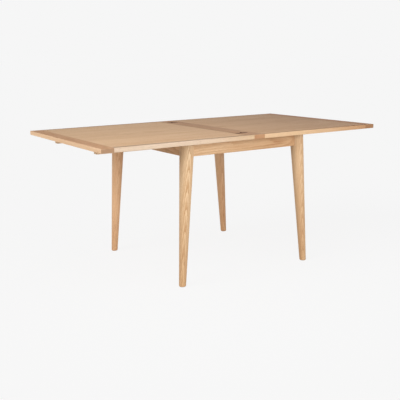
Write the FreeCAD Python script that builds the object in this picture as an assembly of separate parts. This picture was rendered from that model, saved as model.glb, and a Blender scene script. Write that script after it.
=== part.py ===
"""Flip-top dining table in oak: a base on splayed legs, a sliding lower leaf and a flip leaf.

Millimetres. +X runs along the open top, +Y from the front edge to the back edge, +Z up.
The origin lies on the floor under the middle of the open top. The table is modelled open:
the lower leaf covers the -X half and carries the runners, the flip leaf covers the +X half.
To close it, the flip leaf folds over onto the lower leaf, and both slide to the middle.
"""
import FreeCAD
import Part
import math
import os

V = FreeCAD.Vector
UP = V(0, 0, 1)
DOWN = V(0, 0, -1)
ALONG_Y = V(0, 1, 0)

# Overall sizes
OPEN_LENGTH = 1700.0
TOP_WIDTH = 950.0
TABLE_HEIGHT = 750.0
TOP_THICKNESS = 22.0

# Leaves
SEAM_GAP = 0.8
BREADBOARD_WIDTH = 65.0
SEAM_RAIL_WIDTH = 45.0
LIPPING_WIDTH = 28.0
ARRIS = 1.5
JOINT_CHAMFER = 0.4
SPLINE_THICKNESS = 8.0
SPLINE_DEPTH = 8.0
SPLINE_END_COVER = 45.0
SPLINE_CLEARANCE = 0.1

# Legs, given by how far their centre line lies inside the closed top's ends and long edges
LEG_TOP_END_INSET = 75.0
LEG_TOP_EDGE_INSET = 89.0
FOOT_END_INSET = 25.0
FOOT_EDGE_INSET = 75.0
LEG_TOP_DIAMETER = 74.0
FOOT_DIAMETER = 36.0
FOOT_ROUND = 1.5
GLIDE_DIAMETER = 30.0
GLIDE_THICKNESS = 1.5

# Aprons, and the blocks and bolts that brace the corners
SLIDE_GAP = 1.0
APRON_HEIGHT = 66.0
APRON_THICKNESS = 22.0
APRON_SETBACK = 18.0
APRON_HOUSING = 20.0
HOUSING_CLEARANCE = 0.15
BLIND_SKIN = 8.0
BLOCK_THICKNESS = 18.0
BLOCK_HEIGHT = 46.0
BLOCK_LEG_GAP = 6.0
BOLT_DIAMETER = 8.0
BOLT_START = 6.0
BOLT_PROUD = 5.0
BOLT_CLEARANCE = 0.3
WASHER_DIAMETER = 20.0
WASHER_THICKNESS = 1.6
NUT_ACROSS_FLATS = 13.0
NUT_HEIGHT = 6.5
BLOCK_SCREW_PITCH = 26.0
BLOCK_SCREW_DIAMETER = 4.0
BLOCK_SCREW_HEAD_DIAMETER = 8.0
BLOCK_SCREW_HEAD_HEIGHT = 3.0
BLOCK_SCREW_SEAT = 7.0

# Runners under the lower leaf, and the guides that let them slide but not lift
RUNNER_BLOCK_GAP = 29.0
RUNNER_STEM = 14.0
RUNNER_HEIGHT = 32.0
RUNNER_FLANGE = 20.0
FLANGE_THICKNESS = 11.0
RUNNER_END_SETBACK = 3.0
RUNNER_SEAM_SETBACK = 20.0
RUNNER_CLEARANCE = 0.8
RUNNER_SCREWS = 4
RUNNER_SCREW_INSET = 60.0
RUNNER_SCREW_DIAMETER = 4.0
RUNNER_SCREW_HEAD_DIAMETER = 8.0
NOTCH_CLEARANCE = 3.0
GUIDE_WALL = 18.0
RAIL_WIDTH = 30.0
RAIL_HEIGHT = 30.0
RAIL_BLOCK_GAP = 12.0
DOWEL_DIAMETER = 8.0
GUIDE_SCREW_DIAMETER = 4.4
GUIDE_SCREW_HEAD_DIAMETER = 8.8
GUIDE_SCREW_BITE = 18.0
STOP_PIN_DIAMETER = 6.0
STOP_PIN_SEAM_SETBACK = 60.0
STOP_PIN_SINK = 0.5
STOP_CLEARANCE = 0.4
PAD_DIAMETER = 16.0
PAD_THICKNESS = 0.7
PAD_SPACING = 250.0

# Hinges let in flush across the seam, round-ended, with the pin just above the surface
HINGE_EDGE_INSET = 115.0
HINGE_REACH = 37.5
HINGE_WIDTH = 22.0
HINGE_PLATE_THICKNESS = 2.5
KNUCKLES = 5
KNUCKLE_RADIUS = 2.2
KNUCKLE_GAP = 0.2
HINGE_LIFT = 0.3
HINGE_PIN_DIAMETER = 2.2
HINGE_PIN_CLEARANCE = 0.05
HINGE_CLEARANCE = 0.3
HINGE_SCREW_DIAMETER = 3.2
HINGE_SCREW_HEAD_DIAMETER = 6.4
HINGE_SCREW_KNUCKLE_GAP = 8.0
DRIVE_SLOT_LENGTH = 4.0
DRIVE_SLOT_WIDTH = 0.9
DRIVE_SLOT_DEPTH = 0.9

SIDES = {"left": -1, "right": 1}
EDGES = {"front": -1, "back": 1}
LEAVES = {"lower": -1, "flip": 1}

# Heights and lengths of the leaves
LEAF_LENGTH = OPEN_LENGTH / 2
SLIDE_TRAVEL = LEAF_LENGTH / 2
HALF_WIDTH = TOP_WIDTH / 2
HALF_SEAM = SEAM_GAP / 2
PANEL_HALF = HALF_WIDTH - LIPPING_WIDTH
LEAF_UNDER = TABLE_HEIGHT - TOP_THICKNESS
LEAF_MIDDLE = TABLE_HEIGHT - TOP_THICKNESS / 2
LEAF_SPAN = (LEAF_UNDER, TABLE_HEIGHT)
END_JOINT = LEAF_LENGTH - BREADBOARD_WIDTH
SEAM_JOINT = {-1: HALF_SEAM + SEAM_RAIL_WIDTH, 1: HALF_SEAM + BREADBOARD_WIDTH}
TOP_BITE = TOP_THICKNESS - BLIND_SKIN

# The frame's box. The closed top is one leaf long and centred on it.
CLOSED_HALF = LEAF_LENGTH / 2
LEG_TOP_X = CLOSED_HALF - LEG_TOP_END_INSET
LEG_TOP_Y = HALF_WIDTH - LEG_TOP_EDGE_INSET
FOOT_X = CLOSED_HALF - FOOT_END_INSET
FOOT_Y = HALF_WIDTH - FOOT_EDGE_INSET
FRAME_TOP = LEAF_UNDER - SLIDE_GAP
APRON_BOTTOM = FRAME_TOP - APRON_HEIGHT
APRON_MIDDLE = FRAME_TOP - APRON_HEIGHT / 2
APRON_BITE = APRON_THICKNESS - BLIND_SKIN
LEG_RADIUS = LEG_TOP_DIAMETER / 2
APRON_OUT_X = LEG_TOP_X + LEG_RADIUS - APRON_SETBACK
APRON_OUT_Y = LEG_TOP_Y + LEG_RADIUS - APRON_SETBACK
APRON_IN_X = APRON_OUT_X - APRON_THICKNESS
APRON_IN_Y = APRON_OUT_Y - APRON_THICKNESS
APRON_END_X = LEG_TOP_X - APRON_HOUSING
APRON_END_Y = LEG_TOP_Y - APRON_HOUSING

# A corner block's two long faces cross each apron at these distances from the inner corner
CORNER_OFFSET = (APRON_IN_X - LEG_TOP_X) + (APRON_IN_Y - LEG_TOP_Y)
BLOCK_NEAR = CORNER_OFFSET + math.sqrt(2) * (LEG_RADIUS + BLOCK_LEG_GAP)
BLOCK_FAR = BLOCK_NEAR + math.sqrt(2) * BLOCK_THICKNESS
BLOCK_HALFWAY = (BLOCK_NEAR + BLOCK_FAR) / 2

# Runners, guides and the rails that carry the guides, measured out from the table's middle line
RUNNER_OUT = APRON_IN_Y - BLOCK_FAR - RUNNER_BLOCK_GAP
RUNNER_IN = RUNNER_OUT - RUNNER_STEM
RUNNER_MIDDLE = RUNNER_OUT - RUNNER_STEM / 2
FLANGE_IN = RUNNER_IN - RUNNER_FLANGE
FLANGE_MIDDLE = RUNNER_IN - RUNNER_FLANGE / 2
RUNNER_BOTTOM = LEAF_UNDER - RUNNER_HEIGHT
FLANGE_TOP = RUNNER_BOTTOM + FLANGE_THICKNESS
RUNNER_LEFT = -END_JOINT + RUNNER_END_SETBACK
RUNNER_RIGHT = -RUNNER_SEAM_SETBACK
GUIDE_OUT = RUNNER_IN - RUNNER_CLEARANCE
GUIDE_GROOVE = FLANGE_IN - RUNNER_CLEARANCE
GUIDE_IN = GUIDE_GROOVE - GUIDE_WALL
RAIL_TOP = RUNNER_BOTTOM - RUNNER_CLEARANCE
RAIL_X = APRON_IN_X - BLOCK_FAR - RAIL_BLOCK_GAP - RAIL_WIDTH / 2
STOP_PIN_X = -STOP_PIN_SEAM_SETBACK

# Hinges
HINGE_Y = HALF_WIDTH - HINGE_EDGE_INSET
HINGE_AXIS_Z = TABLE_HEIGHT + HINGE_LIFT
HINGE_HALF = HINGE_WIDTH / 2
PLATE_UNDER = TABLE_HEIGHT - HINGE_PLATE_THICKNESS
PLATE_INNER = KNUCKLE_RADIUS + HINGE_CLEARANCE
HINGE_SCREW_PLACES = (PLATE_INNER + HINGE_SCREW_KNUCKLE_GAP, HINGE_REACH - HINGE_HALF)


def box(x_span, y_span, z_span):
    """A box between two limits on each axis, given in either order."""
    low = V(min(x_span), min(y_span), min(z_span))
    size = V(max(x_span), max(y_span), max(z_span)) - low
    return Part.makeBox(size.x, size.y, size.z, low)


def rod(start, direction, length, radius):
    """A cylinder from a point along a direction."""
    return Part.makeCylinder(radius, length, start, direction)


def prism(corners, height):
    """A flat outline raised along a vector."""
    return Part.Face(Part.makePolygon(corners + corners[:1])).extrude(height)


def edges_on(shape, x=None, y=None, z=None):
    """The shape's edges that lie wholly at the coordinates given."""
    wanted = [(i, value) for i, value in enumerate((x, y, z)) if value is not None]
    found = []
    for edge in shape.Edges:
        points = [vertex.Point for vertex in edge.Vertexes]
        if all(abs(point[i] - value) < 1e-6 for point in points for i, value in wanted):
            found.append(edge)
    return found


def cut_all(shape, tools):
    """The shape with every tool cut out of it."""
    for tool in tools:
        shape = shape.cut(tool)
    return shape


def countersunk_screw(seat, direction, length, diameter, head_diameter):
    """A wood screw whose flat head lies flush at seat and which points along direction."""
    head_height = (head_diameter - diameter) / 2
    head = Part.makeCone(head_diameter / 2, diameter / 2, head_height, seat, direction)
    return head.fuse(rod(seat, direction, length, diameter / 2)).removeSplitter()


# Legs and feet


def leg_share(z):
    """How far up the leg a height lies, from 0 at the floor to 1 at the top of the frame."""
    return z / FRAME_TOP


def leg_centre(side, edge, z):
    """The leg's centre line at a height, for the corner with those signs."""
    x = FOOT_X + (LEG_TOP_X - FOOT_X) * leg_share(z)
    y = FOOT_Y + (LEG_TOP_Y - FOOT_Y) * leg_share(z)
    return V(side * x, edge * y, z)


def leg_radius(z):
    """The leg's radius at a height."""
    foot_radius = FOOT_DIAMETER / 2
    return foot_radius + (LEG_RADIUS - foot_radius) * leg_share(z)


def leg(side, edge):
    """A round tapered leg that leans outwards, housed for two aprons and bored for its bolt."""
    rings = []
    for z, inset in ((GLIDE_THICKNESS, FOOT_ROUND), (GLIDE_THICKNESS + FOOT_ROUND, 0), (FRAME_TOP, 0)):
        circle = Part.Circle(leg_centre(side, edge, z), UP, leg_radius(z) - inset)
        rings.append(Part.Wire(circle.toShape()))
    body = Part.makeLoft(rings, True, True)
    grow = HOUSING_CLEARANCE
    z_span = (APRON_BOTTOM - grow, FRAME_TOP + 1)
    long_y = (edge * (APRON_IN_Y - grow), edge * (APRON_OUT_Y + grow))
    short_x = (side * (APRON_IN_X - grow), side * (APRON_OUT_X + grow))
    long_housing = box((0, side * (APRON_END_X + grow)), long_y, z_span)
    short_housing = box(short_x, (0, edge * (APRON_END_Y + grow)), z_span)
    return cut_all(body, [long_housing, short_housing, hanger_bolt(side, edge)])


def foot_glide(side, edge):
    """A round glide under a foot."""
    return rod(leg_centre(side, edge, 0), UP, GLIDE_THICKNESS, GLIDE_DIAMETER / 2)


# Aprons


def long_apron(edge):
    """The front or back apron, which runs along X, drilled for block screws and rail dowels."""
    y_span = (edge * APRON_IN_Y, edge * APRON_OUT_Y)
    board = box((-APRON_END_X, APRON_END_X), y_span, (APRON_BOTTOM, FRAME_TOP))
    lower = [found for y in y_span for found in edges_on(board, y=y, z=APRON_BOTTOM)]
    board = board.makeFillet(ARRIS, lower)
    for side in SIDES.values():
        board = cut_all(board, block_screws(side, edge) + rail_dowels(side))
    return board


def short_apron(side):
    """The left or right apron, which runs along Y, notched at its top edge for the runners."""
    x_span = (side * APRON_IN_X, side * APRON_OUT_X)
    board = box(x_span, (-APRON_END_Y, APRON_END_Y), (APRON_BOTTOM, FRAME_TOP))
    lower = [found for x in x_span for found in edges_on(board, x=x, z=APRON_BOTTOM)]
    board = board.makeFillet(ARRIS, lower)
    notch_z = (RUNNER_BOTTOM - NOTCH_CLEARANCE, FRAME_TOP + 1)
    for edge in EDGES.values():
        notch_y = (edge * (FLANGE_IN - NOTCH_CLEARANCE), edge * (RUNNER_OUT + NOTCH_CLEARANCE))
        board = cut_all(board, [box(x_span, notch_y, notch_z)] + block_screws(side, edge))
    return board


def slide_pads():
    """Thin round pads on the aprons' top edges, which the leaves slide over."""
    y = (APRON_IN_Y + APRON_OUT_Y) / 2
    x = (APRON_IN_X + APRON_OUT_X) / 2
    places = [(i * PAD_SPACING, edge * y) for edge in EDGES.values() for i in (-1, 0, 1)]
    places += [(side * x, 0) for side in SIDES.values()]
    return [rod(V(px, py, FRAME_TOP), UP, PAD_THICKNESS, PAD_DIAMETER / 2) for px, py in places]


# Corner blocks and their fasteners


def corner_point(side, edge, from_side, from_edge, z):
    """A point by its distances from the inner faces of a corner's short and long apron."""
    return V(side * (APRON_IN_X - from_side), edge * (APRON_IN_Y - from_edge), z)


def inward(side, edge):
    """The level direction from a corner's leg towards the middle of the table."""
    return V(-side, -edge, 0).normalize()


def bolt_point(side, edge, distance):
    """A point on the hanger bolt's line, at a distance from the leg's centre line."""
    return leg_centre(side, edge, APRON_MIDDLE) + inward(side, edge) * distance


def block_inner_distance():
    """Where the bolt's line leaves the corner block, from the leg's centre line."""
    centre = leg_centre(1, 1, APRON_MIDDLE)
    offset = (APRON_IN_X - centre.x) + (APRON_IN_Y - centre.y)
    return (BLOCK_FAR - offset) / math.sqrt(2)


def hanger_bolt(side, edge):
    """The bolt that draws a leg against its corner block."""
    end = block_inner_distance() + WASHER_THICKNESS + NUT_HEIGHT + BOLT_PROUD
    start = bolt_point(side, edge, BOLT_START)
    return rod(start, inward(side, edge), end - BOLT_START, BOLT_DIAMETER / 2)


def bolt_hole(side, edge):
    """The clearance hole for a hanger bolt."""
    length = block_inner_distance() + WASHER_DIAMETER
    return rod(bolt_point(side, edge, 0), inward(side, edge), length, BOLT_DIAMETER / 2 + BOLT_CLEARANCE)


def hanger_washer(side, edge):
    """The washer between a corner block and its nut."""
    start = bolt_point(side, edge, block_inner_distance())
    disc = rod(start, inward(side, edge), WASHER_THICKNESS, WASHER_DIAMETER / 2)
    return disc.cut(bolt_hole(side, edge))


def hanger_nut(side, edge):
    """A hexagon nut on a hanger bolt."""
    axis = inward(side, edge)
    sideways = axis.cross(UP)
    centre = bolt_point(side, edge, block_inner_distance() + WASHER_THICKNESS)
    reach = NUT_ACROSS_FLATS / math.sqrt(3)
    corners = []
    for i in range(6):
        angle = i * math.pi / 3
        corners.append(centre + sideways * (reach * math.cos(angle)) + UP * (reach * math.sin(angle)))
    return prism(corners, axis * NUT_HEIGHT).cut(hanger_bolt(side, edge))


def block_screw_seats(side, edge):
    """Where the screws of a corner block bear, each with its direction into an apron."""
    seats = []
    for z in (APRON_MIDDLE - BLOCK_SCREW_PITCH / 2, APRON_MIDDLE + BLOCK_SCREW_PITCH / 2):
        seats.append((corner_point(side, edge, BLOCK_HALFWAY, BLOCK_SCREW_SEAT, z), V(0, edge, 0)))
        seats.append((corner_point(side, edge, BLOCK_SCREW_SEAT, BLOCK_HALFWAY, z), V(side, 0, 0)))
    return seats


def block_screws(side, edge):
    """The screws of one corner block, two into each of its aprons."""
    solids = []
    for seat, outward in block_screw_seats(side, edge):
        shank = rod(seat, outward, BLOCK_SCREW_SEAT + APRON_BITE, BLOCK_SCREW_DIAMETER / 2)
        head = rod(seat, -outward, BLOCK_SCREW_HEAD_HEIGHT, BLOCK_SCREW_HEAD_DIAMETER / 2)
        solids.append(shank.fuse(head).removeSplitter())
    return solids


def corner_block(side, edge):
    """A diagonal block that ties two aprons together and takes the leg's bolt."""
    low = APRON_MIDDLE - BLOCK_HEIGHT / 2
    outline = ((BLOCK_NEAR, 0), (BLOCK_FAR, 0), (0, BLOCK_FAR), (0, BLOCK_NEAR))
    corners = [corner_point(side, edge, *place, low) for place in outline]
    block = cut_all(prism(corners, UP * BLOCK_HEIGHT), [bolt_hole(side, edge)] + block_screws(side, edge))
    head_room = BLOCK_SCREW_HEAD_DIAMETER / 2 + BOLT_CLEARANCE
    for seat, outward in block_screw_seats(side, edge):
        block = block.cut(rod(seat, -outward, BLOCK_FAR, head_room))
    return block


# Rails, guides and stops


def rail_dowels(side):
    """The two dowels that pin a cross rail to the front and back aprons."""
    solids = []
    for edge in EDGES.values():
        start = V(side * RAIL_X, edge * (APRON_IN_Y - APRON_BITE), RAIL_TOP - RAIL_HEIGHT / 2)
        solids.append(rod(start, V(0, edge, 0), 2 * APRON_BITE, DOWEL_DIAMETER / 2))
    return solids


def guide_screw(side, edge):
    """The screw that holds a guide down on a cross rail."""
    seat = V(side * RAIL_X, edge * (GUIDE_IN + GUIDE_WALL / 2), FRAME_TOP)
    length = FRAME_TOP - RAIL_TOP + GUIDE_SCREW_BITE
    return countersunk_screw(seat, DOWN, length, GUIDE_SCREW_DIAMETER, GUIDE_SCREW_HEAD_DIAMETER)


def cross_rail(side):
    """A rail from the front apron to the back apron that carries both guides."""
    x_span = (side * RAIL_X - RAIL_WIDTH / 2, side * RAIL_X + RAIL_WIDTH / 2)
    rail = box(x_span, (-APRON_IN_Y, APRON_IN_Y), (RAIL_TOP - RAIL_HEIGHT, RAIL_TOP))
    return cut_all(rail, rail_dowels(side) + [guide_screw(side, edge) for edge in EDGES.values()])


def stop_pin(edge):
    """The pin fixed in a guide that runs in a runner's slot and ends its travel."""
    top = V(STOP_PIN_X, edge * FLANGE_MIDDLE, FRAME_TOP - STOP_PIN_SINK)
    return rod(top, DOWN, top.z - RUNNER_BOTTOM, STOP_PIN_DIAMETER / 2)


def guide(edge):
    """A guide whose lip reaches over a runner's flange, so the leaf can slide but not lift."""
    x_span = (-APRON_IN_X, APRON_IN_X)
    body = box(x_span, (edge * GUIDE_IN, edge * GUIDE_OUT), (RAIL_TOP, FRAME_TOP))
    groove_z = (RAIL_TOP, FLANGE_TOP + RUNNER_CLEARANCE)
    groove = box(x_span, (edge * GUIDE_GROOVE, edge * GUIDE_OUT), groove_z)
    screws = [guide_screw(side, edge) for side in SIDES.values()]
    return cut_all(body, [groove, stop_pin(edge)] + screws)


def runner_screws(edge):
    """The screws that hold a runner up to the lower leaf's panel."""
    first = RUNNER_LEFT + RUNNER_SCREW_INSET
    pitch = (RUNNER_RIGHT - RUNNER_SCREW_INSET - first) / (RUNNER_SCREWS - 1)
    sizes = (RUNNER_HEIGHT + TOP_BITE, RUNNER_SCREW_DIAMETER, RUNNER_SCREW_HEAD_DIAMETER)
    seats = [V(first + i * pitch, edge * RUNNER_MIDDLE, RUNNER_BOTTOM) for i in range(RUNNER_SCREWS)]
    return [countersunk_screw(seat, UP, *sizes) for seat in seats]


def runner(edge):
    """A runner: a stem under the leaf with a flange towards the middle, slotted for the stop pin."""
    x_span = (RUNNER_LEFT, RUNNER_RIGHT)
    stem = box(x_span, (edge * RUNNER_IN, edge * RUNNER_OUT), (RUNNER_BOTTOM, LEAF_UNDER))
    flange = box(x_span, (edge * FLANGE_IN, edge * RUNNER_IN), (RUNNER_BOTTOM, FLANGE_TOP))
    body = stem.fuse(flange).removeSplitter()
    half = STOP_PIN_DIAMETER / 2 + STOP_CLEARANCE
    y = edge * FLANGE_MIDDLE
    ends = (STOP_PIN_X - SLIDE_TRAVEL, STOP_PIN_X)
    slot = box(ends, (y - half, y + half), (RUNNER_BOTTOM, FLANGE_TOP))
    for x in ends:
        slot = slot.fuse(rod(V(x, y, RUNNER_BOTTOM), UP, FLANGE_THICKNESS, half))
    return cut_all(body, [slot] + runner_screws(edge))


# Leaves


def spline(side, joint, grow=0.0):
    """A loose tongue across a joint at that distance from the seam, or with grow its groove."""
    reach = SPLINE_DEPTH + grow
    half_y = HALF_WIDTH - SPLINE_END_COVER + grow
    half_z = SPLINE_THICKNESS / 2 + grow
    x_span = (side * joint - reach, side * joint + reach)
    return box(x_span, (-half_y, half_y), (LEAF_MIDDLE - half_z, LEAF_MIDDLE + half_z))


def panel(side):
    """A leaf's veneered panel, grooved at both ends and with its joint edges just broken."""
    joints = (SEAM_JOINT[side], END_JOINT)
    board = box([side * joint for joint in joints], (-PANEL_HALF, PANEL_HALF), LEAF_SPAN)
    broken = edges_on(board, z=TABLE_HEIGHT) + edges_on(board, z=LEAF_UNDER)
    board = board.makeChamfer(JOINT_CHAMFER, broken)
    return cut_all(board, [spline(side, joint, SPLINE_CLEARANCE) for joint in joints])


def lipping(side, edge):
    """A leaf's long edge strip. The lower leaf's runs right up to the seam."""
    inner = HALF_SEAM if side < 0 else SEAM_JOINT[side]
    y_out = edge * HALF_WIDTH
    strip = box((side * inner, side * END_JOINT), (edge * PANEL_HALF, y_out), LEAF_SPAN)
    eased = [found for z in LEAF_SPAN for found in edges_on(strip, y=y_out, z=z)]
    if side < 0:
        eased += [found for z in LEAF_SPAN for found in edges_on(strip, x=side * inner, z=z)]
        eased += edges_on(strip, x=side * inner, y=y_out)
    return strip.makeFillet(ARRIS, eased)


def breadboard(side, joint, free):
    """A cross board between a joint and a free edge, eased round the free edge and both ends."""
    x_free = side * free
    board = box((side * joint, x_free), (-HALF_WIDTH, HALF_WIDTH), LEAF_SPAN)
    eased = [found for z in LEAF_SPAN for found in edges_on(board, x=x_free, z=z)]
    for y in (-HALF_WIDTH, HALF_WIDTH):
        eased += edges_on(board, x=x_free, y=y)
        eased += [found for z in LEAF_SPAN for found in edges_on(board, y=y, z=z)]
    return board.makeFillet(ARRIS, eased).cut(spline(side, joint, SPLINE_CLEARANCE))


def seam_rail():
    """The lower leaf's rail along the seam, between its two lippings."""
    x_seam = -HALF_SEAM
    rail = box((x_seam, -SEAM_JOINT[-1]), (-PANEL_HALF, PANEL_HALF), LEAF_SPAN)
    eased = [found for z in LEAF_SPAN for found in edges_on(rail, x=x_seam, z=z)]
    return rail.makeFillet(ARRIS, eased).cut(spline(-1, SEAM_JOINT[-1], SPLINE_CLEARANCE))


# Hinges


def round_ended(side, edge, inner, grow, z_span):
    """Half of a hinge's outline, from a distance off the seam to its rounded end, raised over z_span."""
    middle = edge * HINGE_Y
    half = HINGE_HALF + grow
    end = side * (HINGE_REACH - HINGE_HALF)
    body = box((side * inner, end), (middle - half, middle + half), z_span)
    cap = rod(V(end, middle, z_span[0]), UP, z_span[1] - z_span[0], half)
    return body.fuse(cap).removeSplitter()


def hinge_screws(side, edge):
    """The plain shapes of one hinge plate's two flush screws."""
    sizes = (TOP_BITE, HINGE_SCREW_DIAMETER, HINGE_SCREW_HEAD_DIAMETER)
    seats = [V(side * x, edge * HINGE_Y, TABLE_HEIGHT) for x in HINGE_SCREW_PLACES]
    return [countersunk_screw(seat, DOWN, *sizes) for seat in seats]


def slotted_hinge_screws(side, edge):
    """One hinge plate's screws with their crossed drive slots."""
    long_half, short_half = DRIVE_SLOT_LENGTH / 2, DRIVE_SLOT_WIDTH / 2
    y = edge * HINGE_Y
    z_span = (TABLE_HEIGHT - DRIVE_SLOT_DEPTH, TABLE_HEIGHT)
    solids = []
    for place, screw in zip(HINGE_SCREW_PLACES, hinge_screws(side, edge)):
        x = side * place
        for half_x, half_y in ((long_half, short_half), (short_half, long_half)):
            screw = screw.cut(box((x - half_x, x + half_x), (y - half_y, y + half_y), z_span))
        solids.append(screw)
    return solids


def hinge_pocket(side, edge):
    """The pocket in one leaf for a hinge plate and its screws."""
    pocket = round_ended(side, edge, 0, HINGE_CLEARANCE, (PLATE_UNDER, HINGE_AXIS_Z + KNUCKLE_RADIUS))
    for screw in hinge_screws(side, edge):
        pocket = pocket.fuse(screw)
    return pocket


def hinge_pin(edge, grow=0.0):
    """A hinge's pin, or with grow the bore for it."""
    start = V(0, edge * HINGE_Y - HINGE_HALF, HINGE_AXIS_Z)
    return rod(start, ALONG_Y, HINGE_WIDTH, HINGE_PIN_DIAMETER / 2 + grow)


def hinge_plate(side, edge):
    """One half of a hinge. The lower leaf's half has the outer and middle knuckles."""
    z_span = (PLATE_UNDER, TABLE_HEIGHT)
    plate = round_ended(side, edge, PLATE_INNER, 0, z_span)
    pitch = HINGE_WIDTH / KNUCKLES
    length = pitch - KNUCKLE_GAP
    first = 0 if side < 0 else 1
    for i in range(first, KNUCKLES, 2):
        y = edge * HINGE_Y - HINGE_HALF + i * pitch + KNUCKLE_GAP / 2
        web = box((0, side * PLATE_INNER), (y, y + length), z_span)
        knuckle = rod(V(0, y, HINGE_AXIS_Z), ALONG_Y, length, KNUCKLE_RADIUS)
        plate = plate.fuse(web).fuse(knuckle)
    bore = hinge_pin(edge, HINGE_PIN_CLEARANCE)
    return cut_all(plate.removeSplitter(), [bore] + hinge_screws(side, edge))


# The whole table


def base_nodes():
    """The frame that stands on the floor."""
    nodes = {}
    corners = [(side, edge) for side in SIDES.values() for edge in EDGES.values()]
    for side_name, side in SIDES.items():
        for edge_name, edge in EDGES.items():
            nodes[f"leg_{edge_name}_{side_name}"] = [leg(side, edge)]
            nodes[f"corner_block_{edge_name}_{side_name}"] = [corner_block(side, edge)]
        nodes[f"apron_{side_name}"] = [short_apron(side)]
        nodes[f"cross_rail_{side_name}"] = [cross_rail(side)]
    for edge_name, edge in EDGES.items():
        nodes[f"apron_{edge_name}"] = [long_apron(edge)]
        nodes[f"guide_{edge_name}"] = [guide(edge)]
    nodes["foot_glides"] = [foot_glide(*corner) for corner in corners]
    nodes["hanger_bolts"] = [hanger_bolt(*corner) for corner in corners]
    nodes["hanger_washers"] = [hanger_washer(*corner) for corner in corners]
    nodes["hanger_nuts"] = [hanger_nut(*corner) for corner in corners]
    nodes["corner_block_screws"] = [screw for corner in corners for screw in block_screws(*corner)]
    nodes["guide_screws"] = [guide_screw(*corner) for corner in corners]
    nodes["rail_dowels"] = [dowel for side in SIDES.values() for dowel in rail_dowels(side)]
    nodes["stop_pins"] = [stop_pin(edge) for edge in EDGES.values()]
    nodes["slide_pads"] = slide_pads()
    return nodes


def leaf_nodes(leaf, side):
    """What both leaves have: a panel, lippings, an end board, loose tongues and hinge plates."""
    nodes = {f"{leaf}_panel": [panel(side)]}
    nodes[f"{leaf}_end_breadboard"] = [breadboard(side, END_JOINT, LEAF_LENGTH)]
    nodes[f"{leaf}_end_spline"] = [spline(side, END_JOINT)]
    nodes[f"{leaf}_seam_spline"] = [spline(side, SEAM_JOINT[side])]
    for edge_name, edge in EDGES.items():
        nodes[f"{leaf}_lipping_{edge_name}"] = [lipping(side, edge)]
        nodes[f"hinge_plate_{leaf}_{edge_name}"] = [hinge_plate(side, edge)]
    screws = [screw for edge in EDGES.values() for screw in slotted_hinge_screws(side, edge)]
    nodes[f"hinge_screws_{leaf}"] = screws
    return nodes


def lower_leaf_nodes():
    """The leaf that slides, with its seam rail, runners and the hinges' pins."""
    nodes = leaf_nodes("lower", LEAVES["lower"])
    screws = []
    for edge_name, edge in EDGES.items():
        nodes[f"runner_{edge_name}"] = [runner(edge)]
        screws += runner_screws(edge)
    nodes["lower_panel"] = [cut_all(nodes["lower_panel"][0], screws)]
    nodes["runner_screws"] = screws
    pockets = [hinge_pocket(LEAVES["lower"], edge) for edge in EDGES.values()]
    nodes["lower_seam_rail"] = [cut_all(seam_rail(), pockets)]
    nodes["hinge_pins"] = [hinge_pin(edge) for edge in EDGES.values()]
    return nodes


def flip_leaf_nodes():
    """The leaf that folds over, with a breadboard end at the seam too."""
    side = LEAVES["flip"]
    nodes = leaf_nodes("flip", side)
    pockets = [hinge_pocket(side, edge) for edge in EDGES.values()]
    nodes["flip_seam_breadboard"] = [cut_all(breadboard(side, SEAM_JOINT[side], HALF_SEAM), pockets)]
    return nodes


def main():
    nodes = {**base_nodes(), **lower_leaf_nodes(), **flip_leaf_nodes()}
    os.makedirs("parts", exist_ok=True)
    for name, solids in nodes.items():
        shape = solids[0] if len(solids) == 1 else Part.makeCompound(solids)
        if not shape.isValid():
            print("not valid:", name)
        shape.exportStep(f"parts/{name}.step")
    print(len(nodes), "nodes, slide travel", SLIDE_TRAVEL, "hinge axis height", HINGE_AXIS_Z)


main()
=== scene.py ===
"""A flip-top dining table in pale oak, dressed for a plain studio picture.

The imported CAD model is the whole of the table. This script gives every one of its nodes a
procedural finish, and adds the floor, the light and the camera of the photograph.
All lengths are in metres, in the frame of the CAD model.
"""

import math
from collections import namedtuple

import bpy
from mathutils import Euler, Matrix, Vector


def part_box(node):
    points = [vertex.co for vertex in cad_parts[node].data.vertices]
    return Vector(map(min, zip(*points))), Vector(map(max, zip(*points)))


# Node helpers

NOISE_RANGE = (0.3, 0.7)  # holds nearly all values of a noise texture
EDGE_LIKENESS = (0.99, 0.80)  # of a rounded and a true normal, where an edge begins and where it is full
BEVEL_SAMPLES = 4

# Sockets of a Mix node that mixes colours.
MIX_FIRST = 6
MIX_SECOND = 7
MIX_RESULT = 2


def srgb(red, green, blue):
    """A colour as it is seen, 0 to 255, in the linear values that a shader takes."""
    def linear(value):
        share = value / 255
        return share / 12.92 if share <= 0.04045 else ((share + 0.055) / 1.055) ** 2.4
    return (linear(red), linear(green), linear(blue), 1.0)


def tint(red, green, blue):
    """A colour in linear values."""
    return (red, green, blue, 1.0)


def grey(level):
    """A grey in linear values."""
    return tint(level, level, level)


def feed(tree, node, inputs):
    """Sets inputs of a node, each to a constant or to another node's output."""
    for name, value in inputs.items():
        socket = node.inputs[name]
        if isinstance(value, bpy.types.NodeSocket):
            tree.links.new(value, socket)
        else:
            socket.default_value = value


def add(tree, kind, inputs=None, **settings):
    """A new shader node with its settings made and its inputs fed."""
    node = tree.nodes.new(kind)
    for name, value in settings.items():
        setattr(node, name, value)
    feed(tree, node, inputs or {})
    return node


def calc(tree, operation, first, second=0.0):
    """One step of arithmetic on numbers."""
    return add(tree, "ShaderNodeMath", {0: first, 1: second}, operation=operation).outputs[0]


def vector_calc(tree, operation, *terms):
    """One step of arithmetic on vectors, which gives a vector."""
    made = add(tree, "ShaderNodeVectorMath", dict(enumerate(terms)), operation=operation)
    return made.outputs["Vector"]


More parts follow.
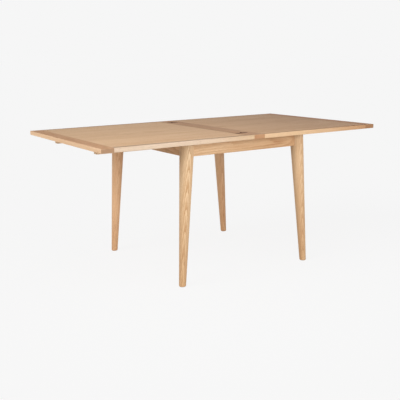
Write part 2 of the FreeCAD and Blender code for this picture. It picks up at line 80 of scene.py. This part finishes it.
def remap(tree, value, low, high, to_low=0.0, to_high=1.0):
    """A value carried from one range to another, and kept inside it."""
    inputs = {"Value": value, "From Min": low, "From Max": high, "To Min": to_low, "To Max": to_high}
    return add(tree, "ShaderNodeMapRange", inputs, clamp=True).outputs[0]


def spread(tree, value, to_low=0.0, to_high=1.0):
    """A noise's values carried to a range."""
    return remap(tree, value, *NOISE_RANGE, to_low, to_high)


def noise_node(tree, place, rates, detail=2.0, roughness=0.5):
    """A noise texture with a rate of its own along each axis, per metre."""
    scaled = vector_calc(tree, "MULTIPLY", place, rates)
    inputs = {"Vector": scaled, "Scale": 1.0, "Detail": detail, "Roughness": roughness}
    return add(tree, "ShaderNodeTexNoise", inputs)


def noise(tree, place, rates, **character):
    """The value of that noise texture, from 0 to 1."""
    return noise_node(tree, place, rates, **character).outputs[0]


def blend(tree, share, first, second, mode="MIX"):
    """The first colour, blended with a share of the second."""
    inputs = {"Factor": share, MIX_FIRST: first, MIX_SECOND: second}
    return add(tree, "ShaderNodeMix", inputs, data_type="RGBA", blend_type=mode).outputs[MIX_RESULT]


def tinted(tree, share, colour, tint_colour):
    """A colour multiplied by a tint, as far as the share says."""
    return blend(tree, share, colour, tint_colour, "MULTIPLY")


def object_place(tree):
    """The spot that is shaded, in the frame of the CAD model."""
    return add(tree, "ShaderNodeTexCoord").outputs["Object"]


def axis_part(tree, vector, axis):
    """One coordinate of a vector."""
    return add(tree, "ShaderNodeSeparateXYZ", {0: vector}).outputs[axis]


def bump(tree, height, strength, distance):
    """A normal that follows a height."""
    inputs = {"Height": height, "Strength": strength, "Distance": distance}
    return add(tree, "ShaderNodeBump", inputs).outputs[0]


def edge_share(tree, radius):
    """1 along the edges of a piece, 0 on its flat faces."""
    rounded = add(tree, "ShaderNodeBevel", {"Radius": radius}, samples=BEVEL_SAMPLES).outputs[0]
    true = add(tree, "ShaderNodeNewGeometry").outputs["Normal"]
    likeness = add(tree, "ShaderNodeVectorMath", {0: rounded, 1: true}, operation="DOT_PRODUCT")
    return remap(tree, likeness.outputs["Value"], *EDGE_LIKENESS)


def bare_tree(owner):
    """The emptied node tree of a material or a world."""
    owner.use_nodes = True
    owner.node_tree.nodes.clear()
    return owner.node_tree


def new_material(name):
    """A new material, its node tree and its shader, which is still at its defaults."""
    material = bpy.data.materials.new(name)
    tree = bare_tree(material)
    shader = add(tree, "ShaderNodeBsdfPrincipled")
    add(tree, "ShaderNodeOutputMaterial", {"Surface": shader.outputs[0]})
    return material, tree, shader


def give(piece, material):
    """Makes a material the only one of a piece."""
    piece.data.materials.clear()
    piece.data.materials.append(material)


# Wood

# Turns that bring a board's grain onto the texture's X axis.
GRAIN_TURN = {
    "X": (0.0, 0.0, 0.0),
    "Y": (0.0, 0.0, math.radians(-90)),
    "Z": (0.0, math.radians(90), 0.0),
}
LEAN = (1.5, 1.0)  # degrees between a board's length and the pith, down and across
BOARD_STEP = 0.37  # how much further along the tree each board is cut
FACING = (0.6, 0.9)  # how squarely a face looks along an axis where a tint begins, and where it is full

# Rates of the patterns per metre, along the grain and across it.
DRIFT = (1.6, 7, 7)
RAGGED = (40, 240, 240)
BROAD = (0.9, 9, 9)
STREAK = (3, 120, 120)
FIBRE = (24, 900, 900)
PORE = (75, 1500, 1500)

# Growth rings.
WAVE_RATE = 20  # radians that the wave texture turns through in a metre, at a scale of 1
RING_RAGGED = 0.0035  # reach of the ragged edges
RING_RISE = (0.0, 0.10)  # part of a ring in which its line darkens
RING_FADE = (0.15, 0.85)  # part of a ring in which its line fades again
CALM_RINGS = 0.35  # how strong the lines are where the board is calmest

# What each pattern adds to the tone of a board, from its lightest to its darkest.
STREAK_TONE = (0.0, 0.32)
BROAD_TONE = (-0.10, 0.22)
FIBRE_TONE = (-0.06, 0.10)

# Pores, which crowd into the lines of the rings.
PORE_LIMITS = (0.60, 0.70)  # noise at which a pore begins, and at which it is full
PORE_COLOUR = tint(0.20, 0.11, 0.06)
FULL_LINE = 0.8  # strength of a line in which the pores are full
PORES_BETWEEN = 0.25  # how strong the pores are between the lines

# Edges rubbed by use, most where the streaks are dark.
RUB_RADIUS = 0.0025
RUB_COLOUR = srgb(240, 214, 182)
RUB_STREAKS = (0.35, 0.65)
RUB_SHARE = (0.10, 0.30)

# Roughness and relief.
STREAK_ROUGHNESS = (-0.05, 0.07)  # how far the streaks lower and raise the roughness
PORE_ROUGHNESS = 0.25  # what a full pore adds to it
END_ROUGHNESS = 0.12  # what end grain adds to it
FIBRE_RELIEF = 0.35  # height of the fibre, where a full pore is 1 deep
RING_RELIEF = 0.25  # depth of a ring's line

END_TINT = tint(0.58, 0.52, 0.47)

# What the grain draws on a board, each as the output of a node.
Patterns = namedtuple("Patterns", "rings broad streak fibre pores")


def lean_turn(lean):
    """The turn between a board's length and the pith."""
    down, across = lean
    return Euler((0.0, math.radians(down), math.radians(across)))


def board_place(tree, grain, lean, pith):
    """The spot on a board, turned so that the grain runs along X, with the tree's pith on the X axis."""
    inputs = {"Vector": object_place(tree), "Rotation": GRAIN_TURN[grain]}
    turned = add(tree, "ShaderNodeMapping", inputs).outputs[0]
    inputs = {"Vector": turned, "Rotation": lean_turn(lean), "Location": pith}
    return add(tree, "ShaderNodeMapping", inputs).outputs[0]


def facing_share(tree, axis):
    """1 on the faces that look along an axis, either way."""
    normal = add(tree, "ShaderNodeTexCoord").outputs["Normal"]
    along = calc(tree, "ABSOLUTE", axis_part(tree, normal, axis))
    return remap(tree, along, *FACING)


def wobble(tree, place, rates, reach):
    """The place moved about by noise, by up to half of reach each way."""
    drift = noise_node(tree, place, rates).outputs["Color"]
    centred = vector_calc(tree, "SUBTRACT", drift, (0.5, 0.5, 0.5))
    return vector_calc(tree, "MULTIPLY_ADD", centred, (reach, reach, reach), place)


def growth_rings(tree, place, spacing, wander):
    """Earlywood lines round the pith that wander as they climb, with ragged edges."""
    wandered = wobble(tree, place, DRIFT, wander)
    ragged = wobble(tree, wandered, RAGGED, RING_RAGGED)
    scale = 2 * math.pi / (WAVE_RATE * spacing)
    wave = add(tree, "ShaderNodeTexWave", {"Vector": ragged, "Scale": scale},
               wave_type="RINGS", rings_direction="X", wave_profile="SAW").outputs["Fac"]
    rise = remap(tree, wave, *RING_RISE)
    fall = remap(tree, wave, *RING_FADE, to_low=1.0, to_high=0.0)
    return calc(tree, "MULTIPLY", rise, fall)


def board_patterns(tree, place, spacing, wander):
    """The patterns of a board, with most of the pores in the lines of the rings."""
    rings = growth_rings(tree, place, spacing, wander)
    broad = noise(tree, place, BROAD)
    streak = noise(tree, place, STREAK, detail=3.0)
    fibre = noise(tree, place, FIBRE)
    pores = remap(tree, noise(tree, place, PORE, detail=1.0), *PORE_LIMITS)
    crowding = remap(tree, rings, 0.0, FULL_LINE, PORES_BETWEEN, 1.0)
    return Patterns(rings, broad, streak, fibre, calc(tree, "MULTIPLY", pores, crowding))


def board_tone(tree, patterns, figure):
    """How far a spot on a board lies from its light colour, at 0, to its dark one, at 1."""
    lines = calc(tree, "MULTIPLY", patterns.rings, spread(tree, patterns.broad, CALM_RINGS, 1.0))
    tone = calc(tree, "MULTIPLY", lines, figure)
    tone = calc(tree, "ADD", tone, spread(tree, patterns.streak, *STREAK_TONE))
    tone = calc(tree, "ADD", tone, spread(tree, patterns.broad, *BROAD_TONE))
    return calc(tree, "ADD", tone, spread(tree, patterns.fibre, *FIBRE_TONE))


def rubbed_share(tree, patterns):
    """How far the wood is rubbed pale, which it is only along its edges."""
    streaky = remap(tree, patterns.streak, *RUB_STREAKS, *RUB_SHARE)
    return calc(tree, "MULTIPLY", edge_share(tree, RUB_RADIUS), streaky)


def wood_roughness(tree, patterns, ends, roughness):
    """The roughness of lacquered wood, higher in its pores and on its end grain."""
    lower, higher = STREAK_ROUGHNESS
    lacquer = spread(tree, patterns.streak, roughness + lower, roughness + higher)
    open_pores = calc(tree, "ADD", lacquer, calc(tree, "MULTIPLY", patterns.pores, PORE_ROUGHNESS))
    return calc(tree, "ADD", open_pores, calc(tree, "MULTIPLY", ends, END_ROUGHNESS))


def wood_height(tree, patterns):
    """The relief of the fibre, with the pores and the rings' lines sunk into it."""
    fibre = calc(tree, "MULTIPLY", patterns.fibre, FIBRE_RELIEF)
    open_pores = calc(tree, "SUBTRACT", fibre, patterns.pores)
    return calc(tree, "SUBTRACT", open_pores, calc(tree, "MULTIPLY", patterns.rings, RING_RELIEF))


def wood(name, grain, pith, light, dark, spacing, figure=0.55, wander=0.02, lean=LEAN, pore_depth=0.45,
         end_tint=END_TINT, flat_tint_and_shade=None, painted_shade=None, roughness=0.56, shine=0.12):
    """Lacquered open-pored timber with rings, fibre, pores, end grain, rubbed edges and any painted
    shade.
    """
    material, tree, shader = new_material(name)
    patterns = board_patterns(tree, board_place(tree, grain, lean, pith), spacing, wander)
    ends = facing_share(tree, grain)
    colour = blend(tree, board_tone(tree, patterns, figure), light, dark)
    colour = blend(tree, calc(tree, "MULTIPLY", patterns.pores, pore_depth), colour, PORE_COLOUR)
    colour = tinted(tree, ends, colour, end_tint)
    # Flat faces take a darker tint: partly the wood's own tone, partly painted shade on tops that catch
    # less light.
    if flat_tint_and_shade:
        colour = tinted(tree, facing_share(tree, "Z"), colour, flat_tint_and_shade)
    # Painted shade: the board darkens along one axis, where less light reaches it.
    if painted_shade:
        along = axis_part(tree, object_place(tree), painted_shade.axis)
        colour = tinted(tree, remap(tree, along, painted_shade.start, painted_shade.stop), colour, painted_shade.tint)
    feed(tree, shader, {
        "Base Color": blend(tree, rubbed_share(tree, patterns), colour, RUB_COLOUR),
        "Roughness": wood_roughness(tree, patterns, ends, roughness),
        "Normal": bump(tree, wood_height(tree, patterns), strength=0.35, distance=0.0003),
        "Specular IOR Level": shine,
    })
    return material


# Tints of flat faces, partly painted shade on the tops, and of end grain, darker than the edges.
FLAT_TINT_AND_SHADE = tint(0.62, 0.53, 0.46)
CROSS_TINT_AND_SHADE = tint(0.62, 0.50, 0.41)
SEAM_TINT_AND_SHADE = tint(0.54, 0.47, 0.43)
FAR_TINT_AND_SHADE = tint(0.47, 0.38, 0.34)
CROSS_END = tint(0.45, 0.405, 0.385)
SEAM_END = tint(0.56, 0.467, 0.41)
FAR_END = tint(0.46, 0.38, 0.33)
# A weak end tint, so that the runners' shaded end grain stays light: painted light.
BEECH_END = tint(0.90, 0.86, 0.82)

# Painted shade along an axis of the table, where light falls off: from where, to where, the tint
# reached.
PaintedShade = namedtuple("PaintedShade", "axis start stop tint")
# Painted shade on the legs, darker towards the floor.
LEG_PAINTED_SHADE = PaintedShade("Z", 0.60, 0.0, tint(0.84, 0.78, 0.72))
FLAME_LEG_PAINTED_SHADE = PaintedShade("Z", 0.50, 0.0, tint(0.75, 0.64, 0.53))
# Painted shade along the table, darker towards the seam, the flip leaf's free end and the aprons' right
# half.
SEAM_PAINTED_SHADE = PaintedShade("X", -0.30, 0.0, tint(0.96, 0.88, 0.75))
TIP_PAINTED_SHADE = PaintedShade("X", 0.35, 0.80, tint(0.70, 0.57, 0.50))
APRON_PAINTED_SHADE = PaintedShade("X", -0.10, 0.15, tint(0.89, 0.84, 0.79))
PALE_PANEL_PAINTED_SHADE = PaintedShade("X", -0.70, 0.0, tint(0.90, 0.89, 0.90))
DULL_PANEL_PAINTED_SHADE = PaintedShade("X", 0.05, 0.85, tint(0.77, 0.76, 0.78))

# What the woods of one use share.
EDGING = dict(spacing=0.005, figure=0.35)
LEG = dict(spacing=0.0048, wander=0.016, lean=(0.5, 5.0), painted_shade=LEG_PAINTED_SHADE, shine=0.35)
APRON = dict(spacing=0.0055, wander=0.035, lean=(0.3, 1.6))
VENEER = dict(spacing=0.007, figure=0.40, wander=0.05)
BEECH = dict(spacing=0.004, figure=0.18, pore_depth=0.15, roughness=0.55)

WOODS = {
    "edging": dict(EDGING, light=srgb(220, 198, 175), dark=srgb(191, 162, 133),
                   flat_tint_and_shade=FLAT_TINT_AND_SHADE, painted_shade=SEAM_PAINTED_SHADE),
    "far_edging": dict(EDGING, light=srgb(236, 206, 172), dark=srgb(206, 168, 128), flat_tint_and_shade=FAR_TINT_AND_SHADE),
    "warm_edging": dict(EDGING, light=srgb(232, 200, 163), dark=srgb(199, 160, 119), figure=0.40,
                        flat_tint_and_shade=FLAT_TINT_AND_SHADE, painted_shade=TIP_PAINTED_SHADE),
    "cross": dict(EDGING, light=srgb(251, 214, 176), dark=srgb(228, 185, 144),
                  flat_tint_and_shade=CROSS_TINT_AND_SHADE, end_tint=CROSS_END),
    "seam_cross": dict(EDGING, light=srgb(244, 204, 164), dark=srgb(216, 172, 130),
                       flat_tint_and_shade=SEAM_TINT_AND_SHADE, end_tint=SEAM_END),
    "far_cross": dict(EDGING, light=srgb(240, 200, 160), dark=srgb(210, 166, 124),
                      flat_tint_and_shade=FAR_TINT_AND_SHADE, end_tint=FAR_END),
    "leg": dict(LEG, light=srgb(241, 213, 174), dark=srgb(192, 149, 105), figure=0.85,
                lean=(-6.6, 4.0), painted_shade=FLAME_LEG_PAINTED_SHADE),
    "calm_leg": dict(LEG, light=srgb(228, 195, 155), dark=srgb(185, 140, 97)),
    "warm_leg": dict(LEG, light=srgb(249, 209, 167), dark=srgb(209, 157, 112)),
    "dim_leg": dict(LEG, light=srgb(240, 200, 158), dark=srgb(198, 147, 104)),
    "apron": dict(APRON, light=srgb(231, 197, 157), dark=srgb(188, 138, 96), figure=0.50,
                  painted_shade=APRON_PAINTED_SHADE),
    "side_apron": dict(APRON, light=srgb(242, 209, 169), dark=srgb(200, 150, 107), figure=0.40),
    "pale_veneer": dict(VENEER, light=srgb(226, 189, 149), dark=srgb(202, 159, 119), painted_shade=PALE_PANEL_PAINTED_SHADE),
    "dull_veneer": dict(VENEER, light=srgb(207, 169, 132), dark=srgb(181, 141, 105), painted_shade=DULL_PANEL_PAINTED_SHADE),
    "beech": dict(BEECH, light=srgb(216, 182, 146), dark=srgb(190, 150, 112)),
    # Painted light: a paler beech for the runners, whose ends lie in the shade of the top.
    "beech_with_painted_light": dict(BEECH, light=srgb(246, 216, 180), dark=srgb(226, 190, 150), end_tint=BEECH_END),
}

WOOD_NODES = {
    # node: (wood, grain axis, distance to the pith, its bearing round the grain in degrees)
    "lower_panel": ("pale_veneer", "X", 0.24, 90),
    "flip_panel": ("dull_veneer", "X", 0.27, 90),
    "lower_lipping_front": ("edging", "X", 0.05, 45),
    "lower_lipping_back": ("far_edging", "X", 0.06, 45),
    "flip_lipping_front": ("warm_edging", "X", 0.055, 45),
    "flip_lipping_back": ("far_edging", "X", 0.065, 45),
    "lower_end_breadboard": ("cross", "Y", 0.06, 90),
    "lower_seam_rail": ("seam_cross", "Y", 0.07, 90),
    "flip_end_breadboard": ("far_cross", "Y", 0.065, 90),
    "flip_seam_breadboard": ("seam_cross", "Y", 0.075, 90),
    "leg_front_left": ("leg", "Z", 0.083, -21),
    "leg_front_right": ("calm_leg", "Z", 0.10, 0),
    "leg_back_left": ("warm_leg", "Z", 0.09, 0),
    "leg_back_right": ("dim_leg", "Z", 0.11, 0),
    "apron_front": ("apron", "X", 0.07, 0),
    "apron_back": ("apron", "X", 0.08, 0),
    "apron_left": ("side_apron", "Y", 0.07, 0),
    "apron_right": ("side_apron", "Y", 0.08, 0),
    "corner_block_front_left": ("beech", "Y", 0.06, 90),
    "corner_block_front_right": ("beech", "Y", 0.07, 90),
    "corner_block_back_left": ("beech", "Y", 0.08, 90),
    "corner_block_back_right": ("beech", "Y", 0.09, 90),
    "cross_rail_left": ("beech", "Y", 0.07, 90),
    "cross_rail_right": ("beech", "Y", 0.08, 90),
    "guide_front": ("beech", "X", 0.06, 90),
    "guide_back": ("beech", "X", 0.07, 90),
    "rail_dowels": ("beech", "X", 0.05, 90),
    "lower_end_spline": ("beech", "Y", 0.05, 90),
    "lower_seam_spline": ("beech", "Y", 0.06, 90),
    "flip_end_spline": ("beech", "Y", 0.07, 90),
    "flip_seam_spline": ("beech", "Y", 0.08, 90),
    "runner_front": ("beech_with_painted_light", "X", 0.06, 90),
    "runner_back": ("beech_with_painted_light", "X", 0.07, 90),
}


def pith_place(node, grain, lean, distance, bearing, number):
    """Where the tree's pith runs for one node, so that no two boards show the same figure."""
    low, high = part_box(node)
    centre = (low + high) / 2
    middle = lean_turn(lean).to_matrix() @ Euler(GRAIN_TURN[grain]).to_matrix() @ centre
    turn = math.radians(bearing)
    return (BOARD_STEP * number - middle.x,
            distance * math.cos(turn) - middle.y,
            distance * math.sin(turn) - middle.z)


def dress_wood(nodes):
    """Gives each wooden node a board of its own."""
    for number, (node, (kind, grain, distance, bearing)) in enumerate(WOOD_NODES.items()):
        recipe = WOODS[kind]
        pith = pith_place(node, grain, recipe.get("lean", LEAN), distance, bearing, number)
        give(nodes[node], wood(kind + "_" + node, grain, pith, **recipe))


# Metal, nylon and felt

# Rates of their patterns per metre.
MOTTLE = (160, 160, 160)
BRUSHED = (300, 2500, 300)
PEEL = (900, 900, 900)
SCUFF = (90, 140, 60)
WOOL = (1400, 1400, 1400)
LUMPS = (180, 180, 180)

# Metal edges rubbed back to the light colour.
METAL_RUB_RADIUS = 0.0008
METAL_RUB_SHARE = 0.25
BRUSHED_ROUGHNESS = (-0.07, 0.10)  # how far brushing lowers and raises the roughness

BRONZE_NODES = ("hinge_plate_lower_front", "hinge_plate_lower_back", "hinge_plate_flip_front",
                "hinge_plate_flip_back", "hinge_screws_lower", "hinge_screws_flip", "hinge_pins")
STEEL_NODES = ("hanger_bolts", "hanger_washers", "hanger_nuts", "corner_block_screws", "guide_screws",
               "runner_screws", "stop_pins")


def metal(name, light, dark, roughness, metallic, shine):
    """Turned or pressed metal with a fine brushed grain and a mottled finish."""
    material, tree, shader = new_material(name)
    place = object_place(tree)
    brushed = noise(tree, place, BRUSHED)
    mottled = blend(tree, spread(tree, noise(tree, place, MOTTLE, detail=3.0)), light, dark)
    rubbed = calc(tree, "MULTIPLY", edge_share(tree, METAL_RUB_RADIUS), METAL_RUB_SHARE)
    lower, higher = BRUSHED_ROUGHNESS
    feed(tree, shader, {
        "Base Color": blend(tree, rubbed, mottled, light),
        "Roughness": spread(tree, brushed, roughness + lower, roughness + higher),
        "Normal": bump(tree, brushed, strength=0.15, distance=0.0001),
        "Metallic": metallic,
        "Specular IOR Level": shine,
    })
    return material


def nylon(name, light, dark):
    """Moulded nylon: a matt skin with a faint orange peel and scuffs."""
    material, tree, shader = new_material(name)
    place = object_place(tree)
    peel = noise(tree, place, PEEL)
    scuff = noise(tree, place, SCUFF, detail=4.0)
    feed(tree, shader, {
        "Base Color": blend(tree, remap(tree, scuff, low=0.35, high=0.75), light, dark),
        "Roughness": spread(tree, scuff, to_low=0.42, to_high=0.60),
        "Normal": bump(tree, peel, strength=0.2, distance=0.0001),
    })
    return material


def felt(name, light, dark):
    """Pressed wool felt: tangled short fibres with a soft sheen."""
    material, tree, shader = new_material(name)
    place = object_place(tree)
    fibres = noise(tree, place, WOOL, detail=4.0, roughness=0.7)
    lumps = noise(tree, place, LUMPS)
    tone = calc(tree, "ADD", spread(tree, fibres, to_high=0.7), spread(tree, lumps, to_high=0.3))
    feed(tree, shader, {
        "Base Color": blend(tree, tone, light, dark),
        "Roughness": spread(tree, fibres, to_low=0.85, to_high=1.0),
        "Normal": bump(tree, fibres, strength=0.6, distance=0.0006),
        "Sheen Weight": 0.3,
    })
    return material


def dress_fittings(nodes):
    """Gives the hinges, fasteners, glides and pads their finishes."""
    bronze = metal("bronzed_brass", light=srgb(66, 37, 19), dark=srgb(42, 22, 11),
                   roughness=0.84, metallic=0.0, shine=0.04)
    zinc = metal("zinc_plate", light=srgb(206, 204, 200), dark=srgb(160, 158, 156),
                 roughness=0.34, metallic=1.0, shine=0.5)
    for node in BRONZE_NODES:
        give(nodes[node], bronze)
    for node in STEEL_NODES:
        give(nodes[node], zinc)
    give(nodes["foot_glides"], nylon("nylon", light=srgb(142, 118, 96), dark=srgb(120, 98, 80)))
    give(nodes["slide_pads"], felt("felt", light=srgb(150, 138, 122), dark=srgb(104, 94, 82)))


# Floor, light and camera

BACKDROP = srgb(246, 246, 246)
FLOOR_HALF = 120.0  # half of its side
FLOOR_COLOUR = 0.95
FLOOR_LIGHT = 0.51  # how brightly the open floor is lit
FLOOR_LIT_SHARE = 0.09  # how much of the floor's look comes from that light, and so keeps the shadow
WORLD_LIGHT = 0.28
WHITE = grey(1.0)

SUN_TOWARDS = (-0.90, -0.06, 0.43)
SUN_RADIANCE = 0.52  # of a white face turned to it
SUN_SOFTNESS = 44  # degrees

# The radiance is that of a white face turned to the lamp, at the point that the lamp is aimed at.
# A lamp that isn't mirrored shows in no reflection.
SoftBox = namedtuple("SoftBox", "name place aim width radiance mirrored lights_floor")
SOFT_BOXES = (
    SoftBox("key_front", place=(0.8, -4.6, 1.6), aim=(0.0, 0.0, 0.55), width=2.4, radiance=0.56,
            mirrored=True, lights_floor=False),
    SoftBox("top_front", place=(-0.75, -1.2, 1.75), aim=(-0.3, -0.1, 0.75), width=1.0, radiance=0.32,
            mirrored=True, lights_floor=True),
    SoftBox("fill_back", place=(1.4, 4.4, 1.4), aim=(0.0, 0.0, 0.55), width=1.0, radiance=0.14,
            mirrored=False, lights_floor=False),
)

# The photograph's camera.
CAMERA_PLACE = (-2.0773, -3.2350, 1.1521)
CAMERA_AZIMUTH = -32.27  # degrees, 0 looks along +Y
CAMERA_ELEVATION = 12.07  # degrees above the horizon
CAMERA_ROLL = -0.82  # degrees
CAMERA_LENS = 61.12  # mm
CAMERA_SENSOR = 36.0  # mm


def seen_share(tree):
    """1 for rays that show the backdrop itself, straight or in a reflection."""
    rays = add(tree, "ShaderNodeLightPath").outputs
    mirrored = calc(tree, "MAXIMUM", rays["Is Glossy Ray"], rays["Is Transmission Ray"])
    return calc(tree, "MAXIMUM", rays["Is Camera Ray"], mirrored)


def make_floor():
    """A plain floor that looks like the backdrop and keeps a part of the table's shadow."""
    mesh = bpy.data.meshes.new("floor")
    far = FLOOR_HALF
    corners = [(-far, -far, 0), (far, -far, 0), (far, far, 0), (-far, far, 0)]
    mesh.from_pydata(corners, [], [(0, 1, 2, 3)])
    floor = bpy.data.objects.new("floor", mesh)
    bpy.context.scene.collection.objects.link(floor)
    material = bpy.data.materials.new("pale_floor")
    tree = bare_tree(material)
    # The glow brings the open floor, lit as it is, to the backdrop's grey.
    glow = (BACKDROP[0] - FLOOR_LIT_SHARE * FLOOR_COLOUR * FLOOR_LIGHT) / (1 - FLOOR_LIT_SHARE)
    lit = add(tree, "ShaderNodeBsdfDiffuse", {"Color": grey(FLOOR_COLOUR)}).outputs[0]
    shown = add(tree, "ShaderNodeEmission", {"Color": grey(glow), "Strength": 1.0}).outputs[0]
    share = calc(tree, "MULTIPLY", seen_share(tree), 1 - FLOOR_LIT_SHARE)
    mixed = add(tree, "ShaderNodeMixShader", {0: share, 1: lit, 2: shown}).outputs[0]
    add(tree, "ShaderNodeOutputMaterial", {"Surface": mixed})
    give(floor, material)
    return floor


def make_world():
    """An even white light from all round, which is seen as the backdrop's grey."""
    world = bpy.data.worlds.new("studio")
    bpy.context.scene.world = world
    tree = bare_tree(world)
    light = add(tree, "ShaderNodeBackground", {"Color": WHITE, "Strength": WORLD_LIGHT}).outputs[0]
    shown = add(tree, "ShaderNodeBackground", {"Color": BACKDROP, "Strength": 1.0}).outputs[0]
    mixed = add(tree, "ShaderNodeMixShader", {0: seen_share(tree), 1: light, 2: shown}).outputs[0]
    add(tree, "ShaderNodeOutputWorld", {"Surface": mixed})


def place_lamp(lamp, place, towards):
    """Puts a lamp in the scene so that its light comes from the direction towards."""
    holder = bpy.data.objects.new(lamp.name, lamp)
    holder.location = place
    holder.rotation_mode = "QUATERNION"
    holder.rotation_quaternion = Vector(towards).to_track_quat("Z", "Y")
    holder.visible_camera = False
    bpy.context.scene.collection.objects.link(holder)
    return holder


def make_lamps(floor):
    """A soft sun from the left, and soft boxes, some of which spare the floor so that it stays even."""
    sun = bpy.data.lights.new("fill_left", "SUN")
    sun.energy = SUN_RADIANCE * math.pi
    sun.angle = math.radians(SUN_SOFTNESS)
    place_lamp(sun, (0, 0, 0), SUN_TOWARDS)
    spared = bpy.data.collections.new("spared_floor")
    spared.objects.link(floor)
    spared.collection_objects[0].light_linking.link_state = "EXCLUDE"
    for box in SOFT_BOXES:
        lamp = bpy.data.lights.new(box.name, "AREA")
        towards = Vector(box.place) - Vector(box.aim)
        lamp.size = box.width
        lamp.energy = box.radiance * (math.pi * towards.length) ** 2
        holder = place_lamp(lamp, box.place, towards)
        holder.visible_glossy = box.mirrored
        if not box.lights_floor:
            holder.light_linking.receiver_collection = spared


def make_camera():
    """The camera of the photograph."""
    data = bpy.data.cameras.new("photo_camera")
    data.sensor_fit = "HORIZONTAL"
    data.sensor_width = CAMERA_SENSOR
    data.lens = CAMERA_LENS
    data.clip_end = 2 * FLOOR_HALF
    camera = bpy.data.objects.new("photo_camera", data)
    bpy.context.scene.collection.objects.link(camera)
    azimuth = math.radians(CAMERA_AZIMUTH)
    elevation = math.radians(CAMERA_ELEVATION)
    back = Vector((math.sin(azimuth) * math.cos(elevation),
                   -math.cos(azimuth) * math.cos(elevation),
                   math.sin(elevation)))
    right = Vector((0, 0, 1)).cross(back).normalized()
    turn = Matrix((right, back.cross(right), back)).transposed()
    turn = turn @ Matrix.Rotation(math.radians(CAMERA_ROLL), 3, "Z")
    camera.matrix_world = Matrix.Translation(CAMERA_PLACE) @ turn.to_4x4()
    bpy.context.scene.camera = camera


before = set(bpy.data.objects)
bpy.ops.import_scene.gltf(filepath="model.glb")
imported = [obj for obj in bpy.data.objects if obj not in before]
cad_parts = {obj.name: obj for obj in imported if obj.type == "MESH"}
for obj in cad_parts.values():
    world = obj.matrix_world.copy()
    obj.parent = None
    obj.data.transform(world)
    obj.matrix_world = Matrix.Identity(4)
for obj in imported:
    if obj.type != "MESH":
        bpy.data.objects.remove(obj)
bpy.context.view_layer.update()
bpy.context.scene.view_settings.view_transform = "Standard"
dress_wood(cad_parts)
dress_fittings(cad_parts)
floor = make_floor()
make_world()
make_lamps(floor)
make_camera()
